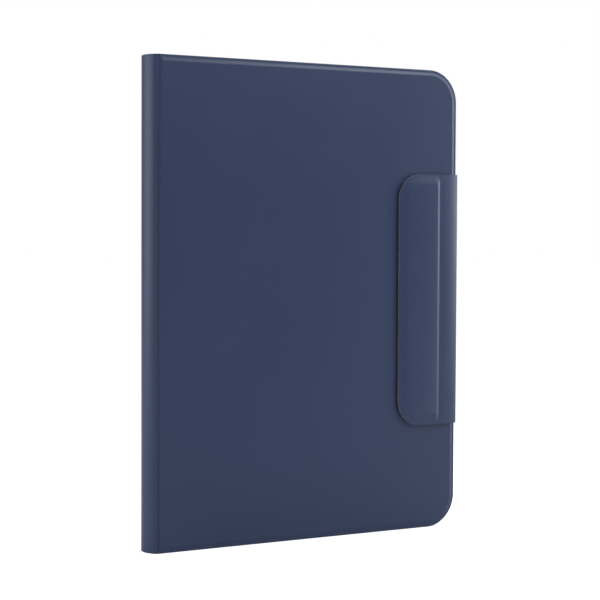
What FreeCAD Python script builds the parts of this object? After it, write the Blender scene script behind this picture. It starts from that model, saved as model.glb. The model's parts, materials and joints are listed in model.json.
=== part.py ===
import FreeCAD, Part
import math
import os
import re
import Sketcher

# Tablet keyboard case, closed and standing on its long edge strip.
# Working place of every piece: X from the front crease to the free edge, Y from the front
# face inwards to the back face, Z up from the standing edge. Millimetres throughout.
SIZES = {
    "originX": 93.45, "originY": 7.25,
    "caseHigh": 256.0, "coverWide": 189.0, "caseThick": 17.5,
    "cornerRound": 18.0, "smallRound": 1.5, "bodyGap": 0.4,
    "frontThick": 2.0, "liningThick": 0.7, "skinThick": 0.5, "boardRise": 0.7,
    "rimTop": 4.0, "rimCrease": 1.6, "raisedRound": 14.0, "boardInset": 0.8, "fitGap": 0.1,
    "backThick": 1.9, "backLining": 0.6, "panelLining": 0.3,
    "spineBulge": 3.7, "spineSkin": 0.7, "spineBoard": 0.6, "spineLining": 0.4, "spineEdge": 0.1,
    "panelStart": 3.0, "foldLine": 16.78,
    "platenStart": 14.0, "platenEnd": 186.5, "platenInset": 4.0, "platenRound": 12.0,
    "platenTop": 6.2, "shellTop": 5.2, "shellFloor": 0.6, "shellWall": 1.2,
    "keysStart": 17.5, "keyPitch": 16.3, "keyGap": 2.0, "keyClear": 0.3,
    "keyTop": 7.4, "keyFoot": 5.0, "functionDeep": 0.62,
    "padStart": 119.0, "padDeep": 61.0, "padWide": 106.0, "padFoot": 5.0, "padTop": 6.1,
    "trayStart": 4.3, "trayEnd": 186.8, "trayInset": 2.2, "trayFront": 7.7, "trayRound": 16.0,
    "trayWall": 1.8, "trayLip": 0.7, "lipReach": 1.5, "bayDeep": 6.2, "noseRound": 1.4,
    "cameraLeft": 146.0, "cameraRight": 180.0, "cameraLow": 213.0, "cameraHigh": 247.0,
    "cameraRound": 9.0, "ringThick": 1.2,
    "flapLow": 58.0, "flapHigh": 198.0, "flapLeft": 148.8, "flapRound": 14.0,
    "strapGap": 0.4, "strapSkin": 0.7, "strapLining": 0.5, "strapRoot": 172.3,
    "flapGap": 0.5, "flapLining": 0.6, "flapSkin": 0.7, "flapPad": 1.2,
    "padLeft": 154.2, "padRight": 174.4, "padInset": 4.5, "padRoundLeft": 10.0, "padRoundRight": 3.0,
    "padWall": 1.0, "tipGap": 0.2, "tipBarLeft": 158.0, "tipBarRight": 170.0, "tipBarLong": 20.0,
    "plateLeft": 150.0, "plateRight": 178.0, "plateInset": 8.0,
    "standBarLeft": 5.5, "standBarRight": 10.5, "standBarLong": 36.0, "strapBackWide": 20.0,
    "cableLeft": 88.0, "cableRight": 103.0, "cableFoot": 0.8, "cableTop": 5.4,
    "soundLong": 5.0, "soundFoot": 3.0, "soundTop": 4.6,
    "powerLeft": 157.0, "powerRight": 169.0, "volumeLong": 11.0, "buttonGap": 0.3, "buttonProud": 0.6,
    "buttonFoot": 2.7, "buttonTop": 5.3,
    "bossRound": 2.0, "screwRound": 0.8, "screwHole": 0.85, "lensRound": 0.65, "lensHole": 0.7,
    "bumperRound": 1.6, "bumperProud": 0.05,
    "insideGap": 2.0, "insideEnd": 111.5, "supportTop": 3.0, "membraneTop": 3.4, "domeTop": 3.7,
    "domeRound": 2.0, "cellStart": 120.0, "cellEnd": 178.0, "cellLow": 18.0, "cellFoot": 2.8,
    "cellTop": 5.0, "cellGap": 3.0, "circuitTop": 3.6, "circuitHigh": 238.0,
    "portLeft": 128.0, "portRight": 137.0, "portFoot": 2.4, "portTop": 5.5, "portWall": 0.35,
    "portLong": 7.0, "switchLeft": 150.0, "switchRight": 157.0, "switchTravel": 3.0,
    "switchFoot": 3.4, "switchTop": 4.4, "switchGap": 0.3, "knobProud": 0.7,
}

doc = FreeCAD.newDocument("TabletKeyboardCase")
subparts = []


def make_sheet():
    """Writes the driving dimensions, one aliased cell each."""
    sheet = doc.addObject("Spreadsheet::Sheet", "Sizes")
    for row, (alias, size) in enumerate(SIZES.items(), start=1):
        sheet.set(f"A{row}", alias)
        sheet.set(f"B{row}", str(size))
        sheet.setAlias(f"B{row}", alias)
    doc.recompute()
    return sheet


sheet = make_sheet()


def named(text):
    """Points each word of an expression at its cell in the sheet."""
    return re.sub(r"[A-Za-z]\w*", r"Sizes.\g<0>", str(text))


def amount(text):
    """Number that an expression has now."""
    return float(sheet.evalExpression(named(text)))


def bind(thing, **sizes):
    """Binds properties to expressions. An underscore in a name stands for a dot."""
    for path, text in sizes.items():
        thing.setExpression(path.replace("_", "."), named(text))


def keep(thing, node):
    """Registers an object as a sub-part, under the node's name."""
    thing.Label = node
    subparts.append(thing)
    return thing


# ---- building blocks ----

def box(name, x, y, z):
    """Block between two limits along each axis."""
    block = doc.addObject("Part::Box", name)
    bind(block, Length=f"({x[1]}) - ({x[0]})", Width=f"({y[1]}) - ({y[0]})",
         Height=f"({z[1]}) - ({z[0]})", Placement_Base_x=f"{x[0]} - originX",
         Placement_Base_y=f"{y[0]} - originY", Placement_Base_z=z[0])
    return block


def peg(name, radius, x, y, z):
    """Cylinder along Y, between the two limits in y."""
    pin = doc.addObject("Part::Cylinder", name)
    pin.Placement.Rotation = FreeCAD.Rotation(FreeCAD.Vector(1, 0, 0), -90)
    bind(pin, Radius=radius, Height=f"({y[1]}) - ({y[0]})", Placement_Base_x=f"{x} - originX",
         Placement_Base_y=f"{y[0]} - originY", Placement_Base_z=z)
    return pin


def group(name, pieces):
    """Several separate solids as one object."""
    bunch = doc.addObject("Part::Compound", name)
    bunch.Links = pieces
    return bunch


def cut(name, base, pieces):
    """Base without the pieces."""
    result = doc.addObject("Part::Cut", name)
    result.Base = base
    result.Tool = group(name + "_tools", pieces) if len(pieces) > 1 else pieces[0]
    return result


def body_in_place(name):
    """Empty design body, moved from the working place to the part's own frame."""
    body = doc.addObject("PartDesign::Body", name)
    bind(body, Placement_Base_x="0 - originX", Placement_Base_y="0 - originY")
    return body


def outline(body, level, x, z, rounds):
    """Sketch of a rectangle with rounded corners, parallel to the XZ plane, at the level in y.
    rounds are the radii at the corners: low left, low right, high right, high left."""
    sketch = body.newObject("Sketcher::SketchObject", body.Name + "_outline")
    plane = [f for f in body.Origin.OriginFeatures if f.Role == "XZ_Plane"][0]
    sketch.AttachmentSupport = [(plane, "")]
    sketch.MapMode = "FlatFace"
    bind(sketch, AttachmentOffset_Base_z=f"0 - ({level})")
    left, right, low, high = (amount(t) for t in (*x, *z))
    radii = [amount(t) for t in rounds]
    starts = [(left + radii[0], low), (right, low + radii[1]),
              (right - radii[2], high), (left, high - radii[3])]
    ends = [(right - radii[1], low), (right, high - radii[2]),
            (left + radii[3], high), (left, low + radii[0])]
    centres = [(right - radii[1], low + radii[1]), (right - radii[2], high - radii[2]),
               (left + radii[3], high - radii[3]), (left + radii[0], low + radii[0])]
    turned = [radii[1], radii[2], radii[3], radii[0]]
    quarter = math.pi / 2
    for side in range(4):
        start, end = FreeCAD.Vector(*starts[side], 0), FreeCAD.Vector(*ends[side], 0)
        sketch.addGeometry(Part.LineSegment(start, end))
        circle = Part.Circle(FreeCAD.Vector(*centres[side], 0), FreeCAD.Vector(0, 0, 1), turned[side])
        sketch.addGeometry(Part.ArcOfCircle(circle, quarter * (side - 1), quarter * side))
    for side in range(4):
        line, arc, following = 2 * side, 2 * side + 1, (2 * side + 2) % 8
        sketch.addConstraint(Sketcher.Constraint("Tangent", line, 2, arc, 1))
        sketch.addConstraint(Sketcher.Constraint("Tangent", arc, 2, following, 1))
        sketch.addConstraint(Sketcher.Constraint("Vertical" if side % 2 else "Horizontal", line))
        radius = sketch.addConstraint(Sketcher.Constraint("Radius", arc, turned[side]))
        sketch.renameConstraint(radius, f"round{side}")
        sketch.setExpression(f"Constraints.round{side}", named(rounds[(side + 1) % 4]))
    limits = [("left", "DistanceX", 6, x[0], left), ("right", "DistanceX", 2, x[1], right),
              ("low", "DistanceY", 0, z[0], low), ("high", "DistanceY", 4, z[1], high)]
    for word, kind, line, text, size in limits:
        limit = sketch.addConstraint(Sketcher.Constraint(kind, -1, 1, line, 1, size))
        sketch.renameConstraint(limit, word)
        sketch.setExpression(f"Constraints.{word}", named(text))
    return sketch


def add(body, y, x, z, rounds):
    """Adds a plate of that outline to the body, between two levels in y."""
    pad = body.newObject("PartDesign::Pad", body.Name + "_plate")
    pad.Profile = outline(body, y[0], x, z, rounds)
    pad.Reversed = True
    bind(pad, Length=f"({y[1]}) - ({y[0]})")
    doc.recompute()
    return body


def remove(body, y, x, z, rounds):
    """Takes a plate of that outline out of the body, between two levels in y."""
    pocket = body.newObject("PartDesign::Pocket", body.Name + "_pocket")
    pocket.Profile = outline(body, y[0], x, z, rounds)
    bind(pocket, Length=f"({y[1]}) - ({y[0]})")
    doc.recompute()
    return body


# ---- outlines that several pieces share ----

FREE_ROUNDS = ["smallRound", "cornerRound", "cornerRound", "smallRound"]
RAISED_ROUNDS = ["smallRound", "raisedRound", "raisedRound", "smallRound"]
STRIP_ROUNDS = ["smallRound"] * 4
FULL_HEIGHT = ("0", "caseHigh")
RAISED_HEIGHT = ("rimTop", "caseHigh - rimTop")
BOARD_HEIGHT = ("rimTop + boardInset", "caseHigh - rimTop - boardInset")
MAIN_START = "foldLine + bodyGap"
CAMERA = (("cameraLeft", "cameraRight"), ("cameraLow", "cameraHigh"), ["cameraRound"] * 4)
BACK_LEVEL = "caseThick - backThick"


def inset(span, amount_text):
    """The span made shorter at both ends."""
    return (f"{span[0]} + ({amount_text})", f"{span[1]} - ({amount_text})")


# ---- the two covers ----

CLOSURE = (("plateLeft", "plateRight"), ("flapLow + plateInset", "flapHigh - plateInset"))
STAND_BAR_PLACES = (-108, -62, 26, 72)
STAND_BARS = [(("standBarLeft", "standBarRight"),
               (f"caseHigh / 2 + {low}", f"caseHigh / 2 + {low} + standBarLong")) for low in STAND_BAR_PLACES]


def in_board(name, place, y, grow="0"):
    """Flat metal piece, or with grow the hole for it, in a cover board."""
    return box(name, inset(place[0], f"0 - {grow}"), y, inset(place[1], f"0 - {grow}"))


def front_cover():
    raised = ("rimCrease", "coverWide - rimTop")
    board = inset(raised, "boardInset")
    under = "frontThick - liningThick"
    skin = body_in_place("front_cover_skin")
    add(skin, ("boardRise", under), ("bodyGap", "coverWide"), FULL_HEIGHT, FREE_ROUNDS)
    add(skin, ("0", "boardRise"), raised, RAISED_HEIGHT, RAISED_ROUNDS)
    remove(skin, ("skinThick", under), inset(board, "0 - fitGap"),
           inset(BOARD_HEIGHT, "0 - fitGap"), RAISED_ROUNDS)
    keep(skin, "front_cover_skin")
    core = body_in_place("front_core")
    add(core, ("skinThick", under), board, BOARD_HEIGHT, RAISED_ROUNDS)
    level = ("skinThick", under)
    holes = [in_board(f"cover_hole{i}", place, level, "fitGap")
             for i, place in enumerate([CLOSURE, *STAND_BARS])]
    keep(cut("front_board", core, holes), "front_cover_board")
    keep(in_board("closure", CLOSURE, level), "closure_plate")
    bars = [in_board(f"stand_bar{i}", place, level) for i, place in enumerate(STAND_BARS)]
    keep(group("stand_bars", bars), "stand_magnets")
    lining = body_in_place("front_cover_lining")
    add(lining, (under, "frontThick"), ("bodyGap", "coverWide"), FULL_HEIGHT, FREE_ROUNDS)
    keep(lining, "front_cover_lining")


def back_cover():
    """Main back cover. The strap's root strip lies in a channel between its board and skin."""
    raised = (f"{MAIN_START} + 1", "coverWide - rimTop")
    board = inset(raised, "boardInset")
    over = f"{BACK_LEVEL} + backLining"
    sheet_top = "caseThick - skinThick"
    channel = (("strapRoot - fitGap", "coverWide + 1"), ("flapLow - fitGap", "flapHigh + fitGap"))
    skin = body_in_place("back_skin")
    add(skin, (over, "caseThick - boardRise"), (MAIN_START, "coverWide"), FULL_HEIGHT, FREE_ROUNDS)
    add(skin, ("caseThick - boardRise", "caseThick"), raised, RAISED_HEIGHT, RAISED_ROUNDS)
    add(skin, ("caseThick - boardRise", "caseThick"), ("coverWide - strapBackWide", "coverWide"),
        ("flapLow - rimTop", "flapHigh + rimTop"), STRIP_ROUNDS)
    remove(skin, (over, sheet_top), inset(board, "0 - fitGap"),
           inset(BOARD_HEIGHT, "0 - fitGap"), RAISED_ROUNDS)
    remove(skin, (f"{over} - 1", "caseThick + 1"), *CAMERA)
    slot = box("root_slot", channel[0], (over, sheet_top), channel[1])
    keep(cut("back_skin_slotted", skin, [slot]), "back_cover_skin")
    core = body_in_place("back_core")
    add(core, (over, sheet_top), board, BOARD_HEIGHT, RAISED_ROUNDS)
    remove(core, (f"{over} - 1", "caseThick"), *CAMERA)
    notch = box("board_notch", channel[0], (over, sheet_top), channel[1])
    keep(cut("back_board", core, [notch]), "back_cover_board")
    lining = body_in_place("back_lining")
    add(lining, (BACK_LEVEL, over), (MAIN_START, "coverWide"), FULL_HEIGHT, FREE_ROUNDS)
    remove(lining, (f"{BACK_LEVEL} - 1", "caseThick"), *CAMERA)
    keep(lining, "back_cover_lining")
    ring = body_in_place("ring")
    add(ring, ("trayFront + trayLip + bayDeep + 0.1", "caseThick - 0.1"),
        inset(CAMERA[0], "fitGap"), inset(CAMERA[1], "fitGap"), CAMERA[2])
    remove(ring, ("trayFront + trayLip + bayDeep - 1", "caseThick + 1"),
           inset(CAMERA[0], "ringThick"), inset(CAMERA[1], "ringThick"), CAMERA[2])
    keep(ring, "camera_ring")
    root = box("root_strip", ("strapRoot", "coverWide + strapGap - 0.3"),
               (f"{over} + 0.1", f"{sheet_top} - 0.1"), ("flapLow", "flapHigh"))
    keep(root, "strap_root")


def rear_panel():
    """Narrow stiff strip between the spine and the fold of the back."""
    whole = ("panelStart", "foldLine - bodyGap")
    raised = inset(whole, "1")
    board = inset(raised, "boardInset")
    over = f"{BACK_LEVEL} + backLining"
    skin = body_in_place("panel_skin")
    add(skin, (over, "caseThick - boardRise"), whole, FULL_HEIGHT, STRIP_ROUNDS)
    add(skin, ("caseThick - boardRise", "caseThick"), raised, RAISED_HEIGHT, STRIP_ROUNDS)
    remove(skin, (over, "caseThick - skinThick"), inset(board, "0 - fitGap"),
           inset(BOARD_HEIGHT, "0 - fitGap"), STRIP_ROUNDS)
    keep(skin, "rear_panel_skin")
    core = body_in_place("panel_core")
    add(core, (over, "caseThick - skinThick"), board, BOARD_HEIGHT, STRIP_ROUNDS)
    keep(core, "rear_panel_board")
    lining = body_in_place("panel_lining_sheet")
    add(lining, (f"{over} - panelLining", over), whole, FULL_HEIGHT, STRIP_ROUNDS)
    keep(lining, "rear_panel_lining")


def spine():
    """Three curved layers, one inside another, that bulge outwards between the covers."""
    radius = "((caseThick / 2) ^ 2 + spineBulge ^ 2) / (2 * spineBulge)"
    depth = "0"
    for node, layer in (("spine_skin", "spineSkin"), ("spine_stiffener", "spineBoard"),
                        ("spine_lining", "spineLining")):
        walls = []
        for face, taken in (("outer", depth), ("inner", f"{depth} + {layer}")):
            wall = doc.addObject("Part::Cylinder", f"{node}_{face}")
            bind(wall, Radius=f"{radius} - ({taken})", Height="caseHigh",
                 Placement_Base_x=f"{radius} - spineBulge - originX",
                 Placement_Base_y="caseThick / 2 - originY")
            walls.append(wall)
        shell = cut(f"{node}_tube", walls[0], [walls[1]])
        span = box(f"{node}_span", ("0 - spineBulge - 1", "spineEdge"), ("0", "caseThick"), FULL_HEIGHT)
        arc = doc.addObject("Part::Common", f"{node}_arc")
        arc.Base, arc.Tool = shell, span
        keep(arc, node)
        depth += f" + {layer}"


# ---- closure flap ----

TIP_BAR_PLACES = (-56, -32, 12, 36)


def flap():
    edge = "coverWide + strapGap"
    height = ("flapLow", "flapHigh")
    wall = (f"{edge}", f"{edge} + strapLining")
    depth = ("0", f"{BACK_LEVEL} + 0.6")
    keep(box("strap_inner", wall, depth, height), "strap_lining")
    keep(box("strap_outer", (wall[1], f"{wall[1]} + strapSkin"), depth, height), "strap_skin")
    tip = ("flapLeft", f"{edge} - tipGap")
    tip_rounds = ["flapRound", "smallRound", "smallRound", "flapRound"]
    low, middle = "0 - flapGap - flapLining", "0 - flapGap - flapLining - flapSkin"
    top = f"{middle} - flapPad"
    pad = (("padLeft", "padRight"), inset(height, "padInset"))
    pad_rounds = ["padRoundLeft", "padRoundRight", "padRoundRight", "padRoundLeft"]
    lining = body_in_place("tip_lining")
    add(lining, (low, "0 - flapGap"), tip, height, tip_rounds)
    keep(lining, "flap_lining")
    skin = body_in_place("tip_skin")
    add(skin, (middle, low), tip, height, tip_rounds)
    add(skin, (top, middle), *pad, pad_rounds)
    remove(skin, (f"{top} + skinThick", low), inset(pad[0], "padWall"),
           inset(pad[1], "padWall"), pad_rounds)
    keep(skin, "flap_skin")
    core = body_in_place("tip_core")
    add(core, (f"{top} + skinThick", low), inset(pad[0], "padWall + fitGap"),
        inset(pad[1], "padWall + fitGap"), pad_rounds)
    bars = [(("tipBarLeft", "tipBarRight"),
             (f"caseHigh / 2 + {start}", f"caseHigh / 2 + {start} + tipBarLong")) for start in TIP_BAR_PLACES]
    level = (f"{top} + skinThick", low)
    holes = [in_board(f"tip_hole{i}", place, level, "fitGap") for i, place in enumerate(bars)]
    keep(cut("tip_board", core, holes), "flap_stiffener")
    magnets = [in_board(f"tip_bar{i}", place, level) for i, place in enumerate(bars)]
    keep(group("tip_bars", magnets), "flap_magnets")


# ---- tablet tray ----

BUTTON_SPAN = ("trayFront + buttonFoot", "trayFront + buttonTop")
BUTTON_SLOT = inset(BUTTON_SPAN, "0 - buttonGap")
POWER_PLACE = ("powerLeft", "powerRight")
VOLUME_PLACES = (204, 219)
SOUND_PLACES = (44, 52, 60, 131, 139, 147)


def tray():
    outer = (("trayStart", "trayEnd"), ("trayInset", "caseHigh - trayInset"))
    bay = (inset(outer[0], "trayWall"), inset(outer[1], "trayWall"))
    window = (inset(bay[0], "lipReach"), inset(bay[1], "lipReach"))
    behind = "trayFront + trayLip + bayDeep"
    shell = body_in_place("tray_shell")
    add(shell, ("trayFront", BACK_LEVEL), *outer, ["trayRound"] * 4)
    remove(shell, ("trayFront + trayLip", behind), *bay, ["trayRound - trayWall"] * 4)
    remove(shell, ("trayFront - 1", "trayFront + trayLip + 0.1"), *window,
           ["trayRound - trayWall - lipReach"] * 4)
    remove(shell, (f"{behind} - 0.5", "caseThick"), *CAMERA)
    nose = amount("trayFront - originY")
    start = amount("trayStart - originX")
    rim = [f"Edge{i}" for i, edge in enumerate(shell.Shape.Edges, start=1)
           if abs(edge.BoundBox.YMax - nose) < 0.01 and edge.BoundBox.XMin < start + 0.01
           and edge.BoundBox.ZLength > 100]
    unrounded = shell.Tip
    rounded = shell.newObject("PartDesign::Fillet", "tray_nose")
    rounded.Base = (unrounded, rim)
    bind(rounded, Radius="noseRound")
    doc.recompute()
    wall_low = ("trayInset - 1", "trayInset + trayWall + 0.5")
    wall_high = ("caseHigh - trayInset - trayWall - 0.5", "caseHigh - trayInset + 1")
    wall_free = ("trayEnd - trayWall - 0.5", "trayEnd + 1")
    middle = ("trayFront + trayLip + cableFoot", "trayFront + trayLip + cableTop")
    slots = [box("cable_slot", ("cableLeft", "cableRight"), middle, wall_low)]
    for side, limits in (("low", wall_low), ("high", wall_high)):
        for i, place in enumerate(SOUND_PLACES):
            slots.append(box(f"sound_{side}{i}", (f"{place}", f"{place} + soundLong"),
                             ("trayFront + soundFoot", "trayFront + soundTop"), limits))
    slots.append(box("power_slot", inset(POWER_PLACE, "0 - buttonGap"), BUTTON_SLOT, wall_high))
    for i, place in enumerate(VOLUME_PLACES):
        slots.append(box(f"volume_slot{i}", wall_free, BUTTON_SLOT,
                         (f"{place} - buttonGap", f"{place} + volumeLong + buttonGap")))
    keep(cut("tray_cut", shell, slots), "tablet_tray")


def tray_buttons():
    high = ("caseHigh - trayInset - trayWall", "caseHigh - trayInset + buttonProud")
    keep(box("power_key", POWER_PLACE, BUTTON_SPAN, high), "power_button")
    outward = ("trayEnd - trayWall", "trayEnd + buttonProud")
    for node, place in zip(("volume_down_button", "volume_up_button"), VOLUME_PLACES):
        keep(box(f"{node}_key", outward, BUTTON_SPAN, (f"{place}", f"{place} + volumeLong")), node)


# ---- keyboard ----

# Each row: depth from the first row in key pitches, its own depth, and its nodes with key widths.
KEY_ROWS = [
    (0, "functionDeep", [("key_escape", [1]), ("function_keys", [1] * 12 + [1.5])]),
    (0, "1", [("number_keys", [1] * 13), ("key_backspace", [1.5])]),
    (1, "1", [("key_tab", [1.5]), ("upper_letter_keys", [1] * 13)]),
    (2, "1", [("key_caps_lock", [1.75]), ("home_letter_keys", [1] * 11), ("key_enter", [1.75])]),
    (3, "1", [("key_left_shift", [2.25]), ("lower_letter_keys", [1] * 10), ("key_right_shift", [2.25])]),
    (4, "1", [("left_modifier_keys", [1, 1, 1, 1.25]), ("space_bar", [5]),
              ("right_modifier_keys", [1.25, 1]), ("arrow_left", [1])]),
]
ROW_UNITS = 14.5
ARROWS = [("arrow_up", 4, "0.5", 1), ("arrow_down", 4.5, "0.5", 1), ("arrow_right", 4, "1", 0)]


def key_places():
    """Node, and the limits in x and z, of every key cap."""
    for row, (depth, deep, nodes) in enumerate(KEY_ROWS):
        start = "keysStart" if row == 0 else f"keysStart + keyPitch * (functionDeep + {depth})"
        across = 0
        for node, widths in nodes:
            for wide in widths:
                yield node, key_limits(start, deep, across, wide)
                across += wide
    for node, depth, deep, from_right in ARROWS:
        start = f"keysStart + keyPitch * (functionDeep + {depth})"
        yield node, key_limits(start, deep, ROW_UNITS - 1 - from_right, 1)


def key_limits(start, deep, across, wide):
    left = ROW_UNITS / 2 - across
    x = (f"{start} + keyGap / 2", f"{start} + keyPitch * {deep} - keyGap / 2")
    z = (f"caseHigh / 2 + keyPitch * {left - wide} + keyGap / 2",
         f"caseHigh / 2 + keyPitch * {left} - keyGap / 2")
    return x, z


def keyboard_keys():
    """Key caps, each node a key or a row of equal keys. Returns the openings they move in."""
    caps, openings, domes = {}, [], []
    for i, (node, (x, z)) in enumerate(key_places()):
        caps.setdefault(node, []).append(box(f"cap{i}", x, ("keyFoot", "keyTop"), z))
        wide = (inset(x, "0 - keyClear"), inset(z, "0 - keyClear"))
        openings.append(box(f"opening{i}", wide[0], ("shellTop - 1", "platenTop + 1"), wide[1]))
        domes.append(peg(f"dome{i}", "domeRound", f"({x[0]} + {x[1]}) / 2", ("membraneTop", "domeTop"),
                         f"({z[0]} + {z[1]}) / 2"))
    for node, pieces in caps.items():
        keep(group(f"{node}_caps", pieces) if len(pieces) > 1 else pieces[0], node)
    keep(group("dome_group", domes), "rubber_domes")
    return openings


SCREW_PLACES = [(x, z) for z in (14, 128, 242) for x in (114.5, 182.5)] + [(114.5, 60), (114.5, 196)]
LENS_PLACES = [(114.5, 222), (114.5, 227), (114.5, 232)]
BUMPER_PLACES = [(16.2, 10), (16.2, 246), (183.2, 24), (183.2, 232)]
PORT = (("portLeft", "portRight"), ("portFoot", "portTop"))
PORT_DEEP = ("caseHigh - platenInset - portLong", "caseHigh - platenInset - fitGap")
PAD_X = ("padStart", "padStart + padDeep")
PAD_Z = ("caseHigh / 2 - padWide / 2", "caseHigh / 2 + padWide / 2")
SWITCH = ("switchLeft", "switchRight")


def keyboard_case(openings):
    span = (("platenStart", "platenEnd"), inset(FULL_HEIGHT, "platenInset"))
    rounds = ["smallRound", "platenRound", "platenRound", "smallRound"]
    inner = (inset(span[0], "shellWall"), inset(span[1], "shellWall"))
    floor = "frontThick + shellFloor"
    side = ("caseHigh - platenInset - shellWall - 1", "caseHigh - platenInset + 1")
    pan = body_in_place("pan")
    add(pan, ("frontThick", "shellTop"), *span, rounds)
    remove(pan, (floor, "shellTop + 1"), *inner, rounds)
    bosses = [peg(f"boss{i}", "bossRound", x, (floor, "shellTop"), z)
              for i, (x, z) in enumerate(SCREW_PLACES)]
    joined = doc.addObject("Part::MultiFuse", "pan_with_bosses")
    joined.Shapes = [pan, *bosses]
    holes = [peg(f"screw_hole{i}", "screwHole", x, ("frontThick - 1", "shellTop + 1"), z)
             for i, (x, z) in enumerate(SCREW_PLACES)]
    port_hole = box("port_hole", inset(PORT[0], "0 - fitGap"), ("portFoot - fitGap", "shellTop + 1"), side)
    port_seat = box("port_seat", inset(PORT[0], "0 - fitGap"), inset(PORT[1], "0 - fitGap"), PORT_DEEP)
    slot = box("switch_hole", ("switchLeft - switchGap", "switchRight + switchGap + switchTravel"),
               ("switchFoot - switchGap", "switchTop + switchGap"), side)
    keep(cut("pan_cut", joined, [*holes, port_hole, port_seat, slot]), "keyboard_lower_shell")
    screws = [peg(f"screw{i}", "screwRound", x, inset(("frontThick", "shellTop"), "fitGap"), z)
              for i, (x, z) in enumerate(SCREW_PLACES)]
    keep(group("screw_group", screws), "case_screws")
    top = body_in_place("top_plate")
    add(top, ("shellTop", "platenTop"), *span, rounds)
    touch = box("touch_opening", inset(PAD_X, "0 - keyClear"), ("shellTop - 1", "platenTop + 1"),
                inset(PAD_Z, "0 - keyClear"))
    roof = box("port_roof", inset(PORT[0], "0 - fitGap"), ("shellTop - 1", "portTop + fitGap"),
               (PORT_DEEP[0], "caseHigh"))
    lens_holes = [peg(f"lens_hole{i}", "lensHole", x, ("shellTop - 1", "platenTop + 1"), z)
                  for i, (x, z) in enumerate(LENS_PLACES)]
    keep(cut("top_cut", top, [*openings, touch, roof, *lens_holes]), "keyboard_top_plate")
    lenses = [peg(f"lens{i}", "lensRound", x, ("shellTop", "platenTop"), z)
              for i, (x, z) in enumerate(LENS_PLACES)]
    keep(group("lens_group", lenses), "status_lenses")


def keyboard_insides():
    keys_x = ("platenStart + insideGap", "insideEnd")
    keys_z = inset(FULL_HEIGHT, "platenInset + insideGap")
    cell_x = ("cellStart", "cellEnd")
    keep(box("support", keys_x, ("frontThick + shellFloor", "supportTop"), keys_z), "key_support_plate")
    keep(box("membrane", keys_x, ("supportTop", "membraneTop"), keys_z), "membrane_sheet")
    battery_z = ("cellLow", f"{PAD_Z[0]} - cellGap")
    keep(box("cell", cell_x, ("cellFoot", "cellTop"), battery_z), "battery")
    circuit_z = (f"{PAD_Z[1]} + cellGap", "circuitHigh")
    keep(box("electronics", cell_x, ("cellFoot", "circuitTop"), circuit_z), "circuit_board")
    tube = box("port_shell", PORT[0], PORT[1], PORT_DEEP)
    mouth = box("port_mouth", inset(PORT[0], "portWall"), inset(PORT[1], "portWall"),
                (f"{PORT_DEEP[0]} + 1", "caseHigh"))
    keep(cut("port_cut", tube, [mouth]), "charging_port")
    keep(box("touch", PAD_X, ("padFoot", "padTop"), PAD_Z), "trackpad")
    knob = ("caseHigh - platenInset - shellWall - 0.8", "caseHigh - platenInset + knobProud")
    keep(box("switch_knob", SWITCH, ("switchFoot", "switchTop"), knob), "power_switch")
    bumpers = [peg(f"bumper{i}", "bumperRound", x, ("platenTop", "keyTop + bumperProud"), z)
               for i, (x, z) in enumerate(BUMPER_PLACES)]
    keep(group("bumper_group", bumpers), "screen_bumpers")


# ---- whole case ----

def check():
    """Stops at a failed object or an unsound sub-part."""
    failed = [o.Label for o in doc.Objects if {"Invalid", "Error"} & set(o.State)]
    if failed:
        raise RuntimeError(f"failed objects: {failed}")
    for thing in subparts:
        if thing.Shape.isNull() or not thing.Shape.isValid() or thing.Shape.Volume <= 0:
            raise RuntimeError(f"unsound sub-part: {thing.Label}")


def write():
    os.makedirs("parts", exist_ok=True)
    for old in os.listdir("parts"):
        os.remove(os.path.join("parts", old))
    for thing in subparts:
        thing.Shape.exportStep(os.path.join("parts", thing.Label + ".step"))
        b = thing.Shape.BoundBox
        print(f"{thing.Label}: {thing.Shape.Volume:.1f} mm3, x {b.XMin:.2f}..{b.XMax:.2f}, "
              f"y {b.YMin:.2f}..{b.YMax:.2f}, z {b.ZMin:.2f}..{b.ZMax:.2f}")
    print(len(subparts), "sub-parts")


front_cover()
back_cover()
rear_panel()
spine()
flap()
tray()
tray_buttons()
keyboard_case(keyboard_keys())
keyboard_insides()
doc.recompute()
check()
write()
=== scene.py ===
import json
import math
import bpy
import bmesh
from mathutils import Matrix, Vector

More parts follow.
